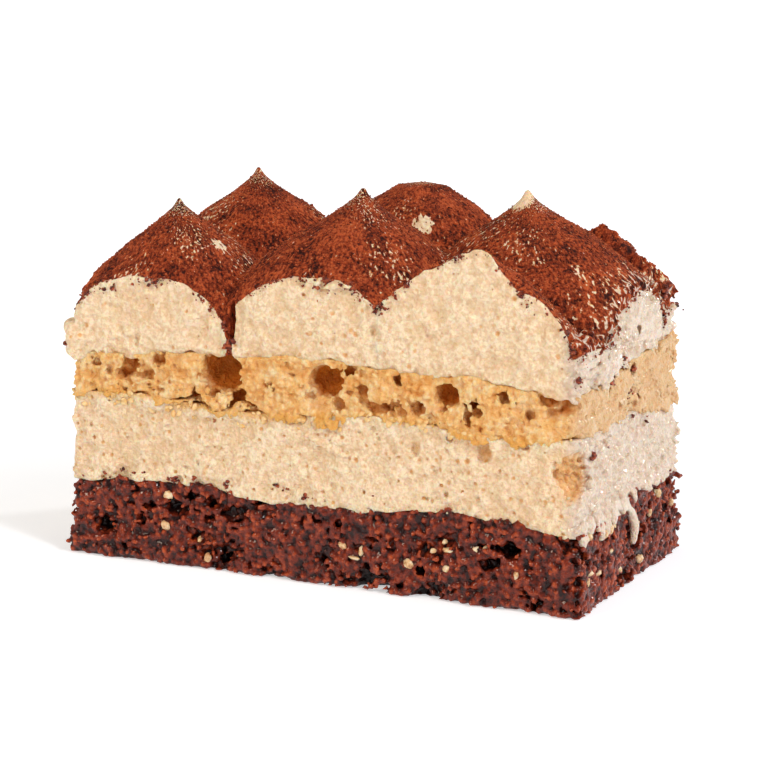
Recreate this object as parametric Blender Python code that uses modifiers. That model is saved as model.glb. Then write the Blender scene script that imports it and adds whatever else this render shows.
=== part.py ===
"""Cut portion of tiramisu, in metres, +Z up, standing on its flat foot.

From the foot upwards: a dark chocolate sponge, a thick layer of mascarpone cream, a light soaked
sponge and a top of piped cream kisses.  A knife has cut the four sides of the slab, so the layers
show on every side and the kisses that stood on a cut are only parts of kisses.  The long cut side
faces -Y.  The origin is the middle of the foot.
"""

from math import cos, pi, radians

import bmesh
import bpy
from mathutils import Matrix, Vector, noise

# The cut block: half sizes at the foot and at the height of the top edge, where it is narrower
BLOCK_X = 0.0009  # the block stands this far off the middle: a lip of cream sticks out on the left
FOOT_HALF_LENGTH = 0.0505
FOOT_HALF_DEPTH = 0.0264
EDGE_HALF_LENGTH = 0.0492
EDGE_HALF_DEPTH = 0.0258
EDGE_HEIGHT = 0.0460
GAP = 0.0003  # left between two pieces that touch

# Layers: mean heights of their upper faces
CHOCOLATE_TOP = 0.0150
CREAM_TOP = 0.0304
SPONGE_TOP_AT_ENDS = 0.0372
SPONGE_CROWN = 0.0030  # rise of the light sponge towards its middle
SPONGE_BACK_RISE = 0.0040  # and towards the back right corner
CREAM_BACK_DROP = 0.0018  # the light sponge is also thicker downwards at that corner
LAYER_COLUMNS = 22
LAYER_ROWS = 11

# Bubbles of the light sponge that the long cut opens: place along the cut, height, radius
BUBBLES = (
    (-0.0180, 0.0370, 0.0041),
    (0.0025, 0.0365, 0.0030),
    (-0.0370, 0.0360, 0.0019),
    (0.0260, 0.0355, 0.0021),
)
BUBBLE_SQUASH = 0.95
BUBBLE_DEPTH = 0.2  # a bubble's middle lies this part of its radius behind the cut

# Upright section of a kiss: depth below the tip and radius
KISS_SECTION = (
    (0.0000, 0.0000),
    (0.0008, 0.0009),
    (0.0033, 0.0032),
    (0.0048, 0.0052),
    (0.0080, 0.0102),
    (0.0120, 0.0150),
    (0.0160, 0.0192),
    (0.0200, 0.0220),
    (0.0230, 0.0226),
    (0.0270, 0.0221),
    (0.0330, 0.0212),
)
KISS_STEPS = 30
LEAN_DEPTH = 0.0140  # a leaning tip bends away above this depth
BLUNT_CAP_RADIUS = 0.0052  # the rounded top of a kiss whose tip is missing
BLUNT_CAP_DROP = 0.0006
SKIRT_ROUNDING = 0.0012  # the upper edge of a skirt is rounded by this much
JOINT_HEIGHT = 0.0500  # two kisses that press together are equally wide towards their joint here
KISS_FLOOR = 0.0290  # turned down to here, then seated on the sponge
SPACE_FLOOR = 0.0270  # the cutter that seats them: its underside, and how far it runs past the block
SPACE_BRIM = 1.2

# Kisses: middle of the foot (x, y), tip height, width factor, sideways lean of the tip,
# height lost by a blunt tip, and radius and height of a pressed-out skirt round the foot
KISSES = {
    "kiss_front_left": dict(at=(-0.0342, -0.0120), tip=0.0654, width=0.99),
    "kiss_front_middle": dict(at=(-0.0005, -0.0078), tip=0.0684, width=1.08, lean=0.0014),
    "kiss_front_right": dict(at=(0.0295, -0.0285), tip=0.0648, width=0.97, lean=0.0025,
                             skirt=(0.0300, 0.0440)),
    "kiss_middle_right": dict(at=(0.0285, 0.0060), tip=0.0678, width=1.14, lean=-0.0012,
                              skirt=(0.0310, 0.0450)),
    "kiss_back_left": dict(at=(-0.0357, 0.0205), tip=0.0682, width=1.04),
    "kiss_back_middle": dict(at=(-0.0030, 0.0240), tip=0.0708, width=1.04, blunt=0.0040),
    "kiss_back_right": dict(at=(0.0345, 0.0340), tip=0.0662, width=0.86,
                            skirt=(0.0240, 0.0465)),
}

# Lip of cream pressed out over the left front edge, under the first kiss
LIP_CENTRE = (-0.0482, -0.0226, 0.0402)
LIP_RADII = (0.0040, 0.0042, 0.0034)
LIP_TILT = radians(12.0)
LIP_OWNER = "kiss_front_left"

# Colours (linear), roughness
CHOCOLATE = (0.075, 0.024, 0.014)
CREAM = (0.82, 0.60, 0.38)
SPONGE = (0.72, 0.37, 0.13)
COCOA = (0.180, 0.044, 0.018)


# --- scene and collections ---------------------------------------------------------------------

def clear_scene():
    for thing in list(bpy.data.objects):
        bpy.data.objects.remove(thing)


def new_collection(name):
    collection = bpy.data.collections.new(name)
    bpy.context.scene.collection.children.link(collection)
    return collection


def add_object(name, mesh, collection):
    thing = bpy.data.objects.new(name, mesh)
    collection.objects.link(thing)
    return thing


def hide_cutter(thing):
    thing.hide_render = True
    thing.display_type = "WIRE"


def finish_material(thing, colour, roughness):
    material = bpy.data.materials.new(thing.name)
    material.use_nodes = True
    shader = material.node_tree.nodes["Principled BSDF"]
    shader.inputs["Base Color"].default_value = (*colour, 1.0)
    shader.inputs["Roughness"].default_value = roughness
    shader.inputs["Metallic"].default_value = 0.0
    thing.data.materials.append(material)


# --- wavy faces between the layers -------------------------------------------------------------

def wave(x, y, seed, length, height):
    """Gentle unevenness of a spread or baked surface."""
    return height * noise.noise(Vector((x / length, y / length, seed)))


def ease(value, start, end):
    """0 before start, 1 after end, smooth between."""
    t = min(max((value - start) / (end - start), 0.0), 1.0)
    return t * t * (3.0 - 2.0 * t)


def back_corner(x, y):
    return ease(x, -0.010, FOOT_HALF_LENGTH) * ease(y, -0.012, FOOT_HALF_DEPTH)


def foot(x, y):
    return 0.0


def chocolate_top(x, y):
    return CHOCOLATE_TOP + wave(x, y, 3.1, 0.014, 0.0012) + wave(x, y, 7.7, 0.006, 0.0006)


def cream_top(x, y):
    sag = CREAM_BACK_DROP * back_corner(x, y)
    return CREAM_TOP - sag + wave(x, y, 11.3, 0.016, 0.0012) + wave(x, y, 14.9, 0.006, 0.0005)


def sponge_top(x, y):
    crown = SPONGE_CROWN * cos(pi * x / (2.2 * FOOT_HALF_LENGTH))
    rise = SPONGE_BACK_RISE * back_corner(x, y)
    return SPONGE_TOP_AT_ENDS + crown + rise + wave(x, y, 21.5, 0.012, 0.0009)


def raised(surface, height):
    return lambda x, y: surface(x, y) + height


def half_length(z):
    return FOOT_HALF_LENGTH + (EDGE_HALF_LENGTH - FOOT_HALF_LENGTH) * z / EDGE_HEIGHT


def half_depth(z):
    return FOOT_HALF_DEPTH + (EDGE_HALF_DEPTH - FOOT_HALF_DEPTH) * z / EDGE_HEIGHT


def layer_mesh(name, lower, upper, brim=1.0):
    """Slab between two wavy faces: a flat grid, extruded, with both faces laid on their heights.

    A brim above 1 carries the faces on past the block's sides, at the height of its edge."""
    bm = bmesh.new()
    bmesh.ops.create_grid(bm, x_segments=LAYER_COLUMNS, y_segments=LAYER_ROWS, size=1.0)
    if brim > 1.0:
        border = [edge for edge in bm.edges if edge.is_boundary]
        made = bmesh.ops.extrude_edge_only(bm, edges=border)
        outer = [v for v in made["geom"] if isinstance(v, bmesh.types.BMVert)]
        bmesh.ops.scale(bm, vec=(brim, brim, 1.0), verts=outer)
    upper_verts = bm.verts[:]
    extruded = bmesh.ops.extrude_face_region(bm, geom=bm.faces[:], use_keep_orig=True)
    lower_verts = [v for v in extruded["geom"] if isinstance(v, bmesh.types.BMVert)]
    for verts, surface in ((upper_verts, upper), (lower_verts, lower)):
        for vert in verts:
            along, across = vert.co.x, vert.co.y
            inside_x = min(max(along, -1.0), 1.0) * FOOT_HALF_LENGTH
            inside_y = min(max(across, -1.0), 1.0) * FOOT_HALF_DEPTH
            z = surface(inside_x, inside_y)
            vert.co = (along * half_length(z) + BLOCK_X, across * half_depth(z), z)
    bmesh.ops.recalc_face_normals(bm, faces=bm.faces[:])
    mesh = bpy.data.meshes.new(name)
    bm.to_mesh(mesh)
    bm.free()
    return mesh


def add_layer(name, lower, upper, colour, roughness, collection):
    thing = add_object(name, layer_mesh(name, lower, upper), collection)
    finish_material(thing, colour, roughness)
    return thing


def open_bubbles(sponge, cutters):
    """Round bubbles that the long cut has opened."""
    for number, (x, z, radius) in enumerate(BUBBLES, 1):
        bm = bmesh.new()
        bmesh.ops.create_icosphere(bm, subdivisions=3, radius=radius)
        squash = Matrix.Diagonal((1.0, 1.0, BUBBLE_SQUASH, 1.0))
        place = Matrix.Translation((x + BLOCK_X, -half_depth(z) + BUBBLE_DEPTH * radius, z))
        bmesh.ops.transform(bm, matrix=place @ squash, verts=bm.verts[:])
        mesh = bpy.data.meshes.new(f"bubble_{number}")
        bm.to_mesh(mesh)
        bm.free()
        ball = add_object(f"bubble_{number}", mesh, cutters)
        hide_cutter(ball)
        cut = sponge.modifiers.new(f"bubble_{number}", "BOOLEAN")
        cut.operation = "DIFFERENCE"
        cut.solver = "EXACT"
        cut.object = ball


# --- piped kisses ------------------------------------------------------------------------------

def section_radius(depth):
    """Radius of a standard kiss at a depth below its tip."""
    for (d0, r0), (d1, r1) in zip(KISS_SECTION, KISS_SECTION[1:]):
        if depth <= d1:
            return r0 + (r1 - r0) * (depth - d0) / (d1 - d0)
    return KISS_SECTION[-1][1]


def kiss_profile(kiss):
    """Points (radius, height) from the tip down the outside to the middle of the foot."""
    top = kiss["tip"] - kiss.get("blunt", 0.0)
    points = []
    for depth, radius in KISS_SECTION:
        cap = top - BLUNT_CAP_DROP * (radius / BLUNT_CAP_RADIUS) ** 2
        z = kiss["tip"] - depth
        points.append((radius * kiss["width"], cap if z > top else z))
    points = [point for point in points if point[1] > KISS_FLOOR]
    if "skirt" in kiss:
        skirt_radius, skirt_height = kiss["skirt"]
        points = [point for point in points if point[1] > skirt_height + SKIRT_ROUNDING]
        points.append((0.5 * (points[-1][0] + skirt_radius), skirt_height))
        points.append((skirt_radius, skirt_height - SKIRT_ROUNDING))
    points.append((points[-1][0], KISS_FLOOR))
    points.append((0.0, KISS_FLOOR))
    return points


def turn_kiss(name, kiss, cutters):
    """Turn the section round its axis with a Screw modifier and return the welded mesh."""
    profile = kiss_profile(kiss)
    mesh = bpy.data.meshes.new(name + "_section")
    verts = [(radius, 0.0, z) for radius, z in profile]
    mesh.from_pydata(verts, [(i, i + 1) for i in range(len(verts) - 1)], [])
    section = add_object(name + "_section", mesh, cutters)
    screw = section.modifiers.new("turn", "SCREW")
    screw.steps = KISS_STEPS
    screw.render_steps = KISS_STEPS
    screw.use_merge_vertices = True
    screw.merge_threshold = 0.00001
    evaluated = section.evaluated_get(bpy.context.evaluated_depsgraph_get())
    bm = bmesh.new()
    bm.from_mesh(evaluated.to_mesh())
    evaluated.to_mesh_clear()
    bpy.data.objects.remove(section)
    bmesh.ops.remove_doubles(bm, verts=bm.verts[:], dist=0.00001)
    bmesh.ops.recalc_face_normals(bm, faces=bm.faces[:])
    return bm


def radius_at(kiss, height):
    return kiss["width"] * section_radius(kiss["tip"] - height)


def knife(bm, point, normal):
    """Cut the solid at a plane, take away the side the normal points to, close the cut face."""
    geom = bm.verts[:] + bm.edges[:] + bm.faces[:]
    cut = bmesh.ops.bisect_plane(
        bm, geom=geom, dist=0.000001, plane_co=point, plane_no=normal, clear_outer=True
    )
    rim = [edge for edge in cut["geom_cut"] if isinstance(edge, bmesh.types.BMEdge)]
    if rim:
        bmesh.ops.holes_fill(bm, edges=rim, sides=0)


def cut_portion_sides(bm):
    """The four knife cuts of the portion, each leaning in by the block's taper."""
    lean_x = (FOOT_HALF_LENGTH - EDGE_HALF_LENGTH) / EDGE_HEIGHT
    lean_y = (FOOT_HALF_DEPTH - EDGE_HALF_DEPTH) / EDGE_HEIGHT
    for side in (-1.0, 1.0):
        knife(bm, (BLOCK_X + side * FOOT_HALF_LENGTH, 0.0, 0.0), (side, 0.0, lean_x))
        knife(bm, (BLOCK_X, side * FOOT_HALF_DEPTH, 0.0), (0.0, side, lean_y))


def part_from_neighbours(bm, name, kiss):
    """Flat joints where soft kisses press together: the plane on which both are equally high."""
    x, y = kiss["at"]
    for other_name, other in KISSES.items():
        if other_name == name:
            continue
        away = Vector((other["at"][0] - x, other["at"][1] - y, 0.0))
        distance = away.length
        own = radius_at(kiss, JOINT_HEIGHT)
        theirs = radius_at(other, JOINT_HEIGHT)
        share = 0.5 * (distance + (own * own - theirs * theirs) / distance)
        away.normalize()
        point = Vector((x + BLOCK_X, y, 0.0)) + away * (share - 0.5 * GAP)
        knife(bm, point, away)


def make_kiss(name, kiss, parts, cutters, sponge_space):
    bm = turn_kiss(name, kiss, cutters)
    lean = kiss.get("lean", 0.0)
    for vert in bm.verts:
        rise = max(vert.co.z - (kiss["tip"] - LEAN_DEPTH), 0.0) / LEAN_DEPTH
        vert.co.x += kiss["at"][0] + BLOCK_X + lean * rise
        vert.co.y += kiss["at"][1]
    cut_portion_sides(bm)
    part_from_neighbours(bm, name, kiss)
    bmesh.ops.triangulate(bm, faces=bm.faces[:])
    mesh = bpy.data.meshes.new(name)
    bm.to_mesh(mesh)
    bm.free()
    thing = add_object(name, mesh, parts)
    if name == LIP_OWNER:
        join_lip(thing, cutters)
    seat = thing.modifiers.new("seat on the sponge", "BOOLEAN")
    seat.operation = "DIFFERENCE"
    seat.solver = "EXACT"
    seat.object = sponge_space
    finish_material(thing, COCOA, 0.9)
    return thing


def join_lip(thing, cutters):
    bm = bmesh.new()
    bmesh.ops.create_icosphere(bm, subdivisions=3, radius=1.0)
    shape = Matrix.Translation(Vector(LIP_CENTRE) + Vector((BLOCK_X, 0.0, 0.0)))
    shape = shape @ Matrix.Rotation(LIP_TILT, 4, "Y") @ Matrix.Diagonal((*LIP_RADII, 1.0))
    bmesh.ops.transform(bm, matrix=shape, verts=bm.verts[:])
    mesh = bpy.data.meshes.new("pressed_lip")
    bm.to_mesh(mesh)
    bm.free()
    lip = add_object("pressed_lip", mesh, cutters)
    hide_cutter(lip)
    join = thing.modifiers.new("pressed lip", "BOOLEAN")
    join.operation = "UNION"
    join.solver = "EXACT"
    join.object = lip


# --- the portion -------------------------------------------------------------------------------

clear_scene()
parts = new_collection("tiramisu_portion")
cutters = new_collection("cutters")

add_layer("chocolate_sponge", foot, chocolate_top, CHOCOLATE, 0.6, parts)
add_layer("lower_cream", raised(chocolate_top, GAP), cream_top, CREAM, 0.5, parts)
light_sponge = add_layer(
    "light_sponge", raised(cream_top, GAP), sponge_top, SPONGE, 0.8, parts
)
open_bubbles(light_sponge, cutters)

sponge_space = add_object(
    "sponge_space",
    layer_mesh("sponge_space", raised(foot, SPACE_FLOOR), raised(sponge_top, GAP), SPACE_BRIM),
    cutters,
)
hide_cutter(sponge_space)
for name, kiss in KISSES.items():
    make_kiss(name, kiss, parts, cutters, sponge_space)
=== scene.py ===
"""Looks of a cut portion of tiramisu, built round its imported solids.

Lengths inside a section are in millimetres, and x is counted from the middle of the block; meshes
are written in metres, in the frame's own place.
"""

import math

import bpy
import numpy as np
import openvdb
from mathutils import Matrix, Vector


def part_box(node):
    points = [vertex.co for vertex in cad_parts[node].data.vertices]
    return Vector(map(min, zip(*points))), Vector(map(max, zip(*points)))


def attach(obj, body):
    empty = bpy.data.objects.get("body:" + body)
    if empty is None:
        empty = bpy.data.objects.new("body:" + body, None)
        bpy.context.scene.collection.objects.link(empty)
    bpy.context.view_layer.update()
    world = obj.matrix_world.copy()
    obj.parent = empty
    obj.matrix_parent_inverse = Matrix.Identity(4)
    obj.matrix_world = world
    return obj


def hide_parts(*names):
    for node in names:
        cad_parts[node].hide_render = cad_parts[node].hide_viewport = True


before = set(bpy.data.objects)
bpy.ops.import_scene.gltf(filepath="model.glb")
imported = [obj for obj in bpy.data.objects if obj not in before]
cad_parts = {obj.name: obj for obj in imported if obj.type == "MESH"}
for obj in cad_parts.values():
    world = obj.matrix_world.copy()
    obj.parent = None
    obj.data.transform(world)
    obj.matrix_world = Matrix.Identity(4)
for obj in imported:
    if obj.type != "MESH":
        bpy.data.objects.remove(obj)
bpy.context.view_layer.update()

# --- Studio: camera, floor and lights --------------------------------------------------------------
# A table top of matt white card, a clear light high on the right, a broad warm one in front and
# pale surroundings.  The camera stands off the right front corner, a little above the kisses.

MM = 0.001

camera_data = bpy.data.cameras.new("camera")
camera_data.sensor_width = 36.0
camera_data.lens = 103.1
camera_data.clip_start = 0.01
camera = bpy.data.objects.new("camera", camera_data)
camera.location = (0.1774, -0.3586, 0.1078)
camera.rotation_euler = (math.radians(79.2), 0.0, math.radians(26.0))
bpy.context.scene.collection.objects.link(camera)
bpy.context.scene.camera = camera

bpy.ops.object.select_all(action="DESELECT")
bpy.ops.mesh.primitive_grid_add(x_subdivisions=24, y_subdivisions=24, size=40.0, location=(0, 0, 0))
floor = bpy.context.object
floor.name = "floor"
floor_finish = bpy.data.materials.new("matt_white_card")
floor_finish.use_nodes = True
floor_shader = floor_finish.node_tree.nodes["Principled BSDF"]
floor_shader.inputs["Base Color"].default_value = (0.74, 0.76, 0.79, 1.0)
floor_shader.inputs["Roughness"].default_value = 0.9
floor_shader.inputs["Specular IOR Level"].default_value = 0.1
floor_shader.inputs["Emission Color"].default_value = (1.0, 1.0, 1.0, 1.0)
floor_shader.inputs["Emission Strength"].default_value = 0.46
floor.data.materials.append(floor_finish)

SURROUND = 0.34  # what the pale surroundings add on every side


def soft_light(name, direction, spread, strength, colour):
    """An even light from far away, from the given direction and as wide as spread degrees."""
    data = bpy.data.lights.new(name, "SUN")
    data.angle = math.radians(spread)
    data.energy = strength
    data.color = colour
    light = bpy.data.objects.new(name, data)
    light.location = direction
    light.rotation_euler = Vector(direction).to_track_quat("Z", "Y").to_euler()
    bpy.context.scene.collection.objects.link(light)


soft_light("high_right", (0.80, -0.33, 0.62), 7.0, 1.0, (0.98, 0.98, 1.0))
soft_light("broad_right", (0.78, -0.20, 0.60), 35.0, 0.75, (0.98, 0.98, 1.0))
soft_light("behind", (0.60, 0.72, 0.48), 8.0, 0.9, (1.0, 1.0, 1.0))
soft_light("front", (-0.45, -0.80, 0.68), 16.0, 1.15, (1.0, 0.86, 0.68))

world = bpy.data.worlds.new("pale_surroundings")
world.use_nodes = True
sky = world.node_tree.nodes["Background"]
sky.inputs["Color"].default_value = (1.0, 1.0, 1.0, 1.0)
seen = world.node_tree.nodes.new("ShaderNodeLightPath")
brightness = world.node_tree.nodes.new("ShaderNodeMapRange")
brightness.inputs["To Min"].default_value = SURROUND
brightness.inputs["To Max"].default_value = 1.05
world.node_tree.links.new(seen.outputs["Is Camera Ray"], brightness.inputs["Value"])
world.node_tree.links.new(brightness.outputs["Result"], sky.inputs["Strength"])
bpy.context.scene.world = world
bpy.context.scene.view_settings.view_transform = "Standard"

# --- Chocolate sponge ------------------------------------------------------------------------------
# The lowest layer: dark, moist chocolate sponge, baked as a sheet and cut with the slab.  Its crumb
# is worked out as a field of distances: knobs of crumb, with torn bubbles taken out of it.

foot_low, foot_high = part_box("chocolate_sponge")
sponge_low, sponge_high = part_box("light_sponge")
MIDDLE_X = 0.5 * (foot_low.x + foot_high.x) / MM
HALF_LENGTH = 0.5 * (foot_high.x - foot_low.x) / MM
HALF_DEPTH = 0.5 * (foot_high.y - foot_low.y) / MM
SLOPE_LENGTH = (0.5 * (sponge_high.x - sponge_low.x) / MM - HALF_LENGTH) / (sponge_low.z / MM)
SLOPE_DEPTH = (0.5 * (sponge_high.y - sponge_low.y) / MM - HALF_DEPTH) / (sponge_low.z / MM)
FAR = 50.0


class Samples:
    """A box of sample points on which the distance field of a soft or porous solid is worked out."""

    def __init__(self, low, high, step):
        self.low = np.array(low, np.float32)
        self.step = step
        self.shape = tuple(int((b - a) / step) + 2 for a, b in zip(low, high))
        axes = [a + step * np.arange(n, dtype=np.float32) for a, n in zip(low, self.shape)]
        self.x = axes[0][:, None, None]
        self.y = axes[1][None, :, None]
        self.z = axes[2][None, None, :]

    def lumps(self, size, seed, stretch=(1.0, 1.0, 1.0)):
        """Smooth random lumps of about this size, mostly between -1 and 1."""
        draw = np.random.default_rng(seed)
        cells = [max(size * part, self.step) for part in stretch]
        counts = [int(n * self.step / cell) + 5 for n, cell in zip(self.shape, cells)]
        value = draw.uniform(-2.5, 2.5, counts).astype(np.float32)
        for axis in (2, 1, 0):
            along = np.arange(self.shape[axis]) * (self.step / cells[axis])
            whole = along.astype(int)
            t = (along - whole).astype(np.float32)
            spread = ((1 - t) ** 3, 3 * t ** 3 - 6 * t * t + 4, -3 * t ** 3 + 3 * t * t + 3 * t + 1, t ** 3)
            form = [1, 1, 1]
            form[axis] = -1
            value = sum(
                np.take(value, whole + k, axis) * (weight / 6).reshape(form)
                for k, weight in enumerate(spread)
            )
        return value

    def knobs(self, size, seed, stretch=(1.0, 1.0, 1.0)):
        """Distance from the nearest of random points about this size apart: round knobs, sharp gaps."""
        draw = np.random.default_rng(seed)
        cells = [size * part for part in stretch]
        counts = [int(n * self.step / cell) + 4 for n, cell in zip(self.shape, cells)]
        offsets = draw.uniform(0.12, 0.88, (3, *counts)).astype(np.float32)
        places = []
        corners = []
        for count, cell in zip(self.shape, cells):
            along = 1.0 + np.arange(count, dtype=np.float32) * (self.step / cell)
            places.append(along)
            corners.append((along - 0.5).astype(int))
        nearest = np.full(self.shape, FAR, np.float32)
        for i in (0, 1):
            for j in (0, 1):
                for k in (0, 1):
                    chosen = np.ix_(corners[0] + i, corners[1] + j, corners[2] + k)
                    away = 0.0
                    for axis, step in enumerate((i, j, k)):
                        form = [1, 1, 1]
                        form[axis] = -1
                        from_cell = (places[axis] - corners[axis] - step).astype(np.float32)
                        gap = (from_cell.reshape(form) - offsets[axis][chosen]) * stretch[axis]
                        away = away + gap * gap
                    nearest = np.minimum(nearest, away)
        return np.sqrt(nearest) * size

    def slanted(self, values, rise):
        """The same values leaning over: moved along x by rise for each step up in z."""
        leaning = np.empty_like(values)
        for level in range(self.shape[2]):
            leaning[:, :, level] = np.roll(values[:, :, level], int(rise * level), axis=0)
        return leaning

    def window(self, centre, reach):
        """Index ranges of the samples within reach of a point."""
        ranges = []
        for start, count, middle in zip(self.low, self.shape, centre):
            first = int((middle - reach - start) / self.step)
            last = int((middle + reach - start) / self.step) + 2
            ranges.append(slice(max(first, 0), max(min(last, count), 0)))
        return tuple(ranges)

    def ball(self, ranges, centre, radii):
        """Distance from an ellipsoid within a window."""
        x = (self.x[ranges[0]] - centre[0]) / radii[0]
        y = (self.y[:, ranges[1]] - centre[1]) / radii[1]
        z = (self.z[:, :, ranges[2]] - centre[2]) / radii[2]
        return (np.sqrt(x * x + y * y + z * z) - 1.0) * min(radii)

    def carve(self, field, centre, radii, ragged=None):
        """Takes a bubble out of the field; ragged is taken off its edge."""
        ranges = self.window(centre, 1.4 * max(radii))
        hollow = self.ball(ranges, centre, radii)
        if ragged is not None:
            hollow = hollow + ragged[ranges]
        field[ranges] = np.maximum(field[ranges], -hollow)

    def add(self, field, centre, radii, ragged=None, blend=0.0):
        """Adds a lump to the field."""
        ranges = self.window(centre, 1.5 * max(radii) + blend)
        lump = self.ball(ranges, centre, radii)
        if ragged is not None:
            lump = lump + ragged[ranges]
        field[ranges] = lower(field[ranges], lump, blend)

    def read(self, values, points):
        """Values of an array at points given in sample counts."""
        values = np.broadcast_to(values, self.shape)
        whole = np.clip(points.astype(int), 0, np.array(self.shape) - 2)
        t = points - whole
        total = 0.0
        for i in (0, 1):
            for j in (0, 1):
                for k in (0, 1):
                    weight = (
                        (t[:, 0] if i else 1 - t[:, 0])
                        * (t[:, 1] if j else 1 - t[:, 1])
                        * (t[:, 2] if k else 1 - t[:, 2])
                    )
                    total = total + weight * values[whole[:, 0] + i, whole[:, 1] + j, whole[:, 2] + k]
        return total

    def surface(self, field, flatness):
        """Points in sample counts, triangles and quads of the closed surface where the field is zero."""
        shell = np.broadcast_to(field, self.shape).astype(np.float32)
        for axis in range(3):
            ends = np.moveaxis(shell, axis, 0)
            ends[0] = np.maximum(ends[0], self.step)
            ends[-1] = np.maximum(ends[-1], self.step)
        grid = openvdb.FloatGrid(FAR)
        grid.copyFromArray(shell)
        points, triangles, quads = grid.convertToPolygons(0.0, flatness)
        return points.astype(np.float64), triangles, quads

    def solid(self, name, field, marks, flatness):
        """The largest closed surface of a field as a piece, with marks kept on its points.

        A mark is an array on the samples, or a function of points in millimetres; its values may
        be places too."""
        points, triangles, quads = self.surface(field, flatness)
        labels = join_labels(len(points), triangles, quads)
        main = np.bincount(labels).argmax()
        triangles = triangles[labels[triangles[:, 0]] == main]
        quads = quads[labels[quads[:, 0]] == main]
        used = np.zeros(len(points), bool)
        used[triangles.ravel()] = True
        used[quads.ravel()] = True
        renumber = np.cumsum(used) - 1
        points = points[used]
        triangles = renumber[triangles]
        quads = renumber[quads]
        places = points * self.step + self.low
        piece = mesh_piece(name, places, triangles, quads)
        for mark, values in marks.items():
            read = values(places) if callable(values) else self.read(values, points)
            kind, key = ("FLOAT", "value") if read.ndim == 1 else ("FLOAT_VECTOR", "vector")
            layer = piece.data.attributes.new(mark, kind, "POINT")
            layer.data.foreach_set(key, read.astype(np.float32).ravel())
        return piece

    def halves(self, name, field, marks, flatness, border):
        """Two closed pieces that meet at x = border, each dipping under the other past it."""
        made = []
        for side, word in ((1, "left"), (-1, "right")):
            beyond = side * (self.x - border)
            own = np.maximum(field + 0.35 * np.maximum(beyond, 0.0), beyond - 0.8)
            made.append(self.solid(f"{name}_{word}", own, marks, flatness))
        return made


def join_labels(count, triangles, quads):
    """One number for each connected group of points."""
    loops = [(faces, faces.shape[1]) for faces in (triangles, quads) if len(faces)]
    pairs = np.concatenate(
        [np.stack([f[:, k], f[:, (k + 1) % n]], 1) for f, n in loops for k in range(n)]
    ).astype(np.int64)
    labels = np.arange(count)
    while True:
        lowest = np.minimum(labels[pairs[:, 0]], labels[pairs[:, 1]])
        before = labels.copy()
        np.minimum.at(labels, labels[pairs[:, 0]], lowest)
        np.minimum.at(labels, labels[pairs[:, 1]], lowest)
        labels = labels[labels]
        if np.array_equal(before, labels):
            return labels


def mesh_piece(name, places, triangles, quads):
    """An object with a smooth mesh of triangles and quads; places are in millimetres."""
    mesh = bpy.data.meshes.new(name)
    mesh.vertices.add(len(places))
    mesh.vertices.foreach_set("co", (places * MM).astype(np.float32).ravel())
    corners = np.concatenate([triangles.ravel(), quads.ravel()]).astype(np.int32)
    starts = np.concatenate(
        [3 * np.arange(len(triangles)), 3 * len(triangles) + 4 * np.arange(len(quads))]
    ).astype(np.int32)
    mesh.loops.add(len(corners))
    mesh.loops.foreach_set("vertex_index", corners)
    mesh.polygons.add(len(starts))
    mesh.polygons.foreach_set("loop_start", starts)
    mesh.polygons.foreach_set("use_smooth", np.ones(len(starts), bool))
    mesh.update(calc_edges=True)
    mesh.validate()
    piece = bpy.data.objects.new(name, mesh)
    bpy.context.scene.collection.objects.link(piece)
    return piece


def point_vectors(mesh, key):
    """Places or normals of a mesh's points, one row for each."""
    values = np.empty(3 * len(mesh.vertices))
    mesh.vertices.foreach_get(key, values)
    return values.reshape(-1, 3)


def point_marks(mesh, mark):
    """The values of one mark at a mesh's points."""
    values = np.empty(len(mesh.vertices))
    mesh.attributes[mark].data.foreach_get("value", values)
    return values


def set_in_place(pieces, material, slot, *nodes):
    """Gives pieces their finish and has them ride with the portion; slot is not used."""
    for piece in pieces:
        piece.data.materials.append(material)
        if nodes:
            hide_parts(*nodes)
        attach(piece, "root")


class Value:
    """A value in a material's node tree, so that shader maths reads as an expression."""

    def __init__(self, finish, socket):
        self.finish = finish
        self.socket = socket

    def maths(self, operation, first, second):
        return self.finish.node("ShaderNodeMath", dict(operation=operation), {0: first, 1: second})

    def __add__(self, other):
        return self.maths("ADD", self, other)

    __radd__ = __add__

    def __sub__(self, other):
        return self.maths("SUBTRACT", self, other)

    def __rsub__(self, other):
        return self.maths("SUBTRACT", other, self)

    def __mul__(self, other):
        return self.maths("MULTIPLY", self, other)

    __rmul__ = __mul__


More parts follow.
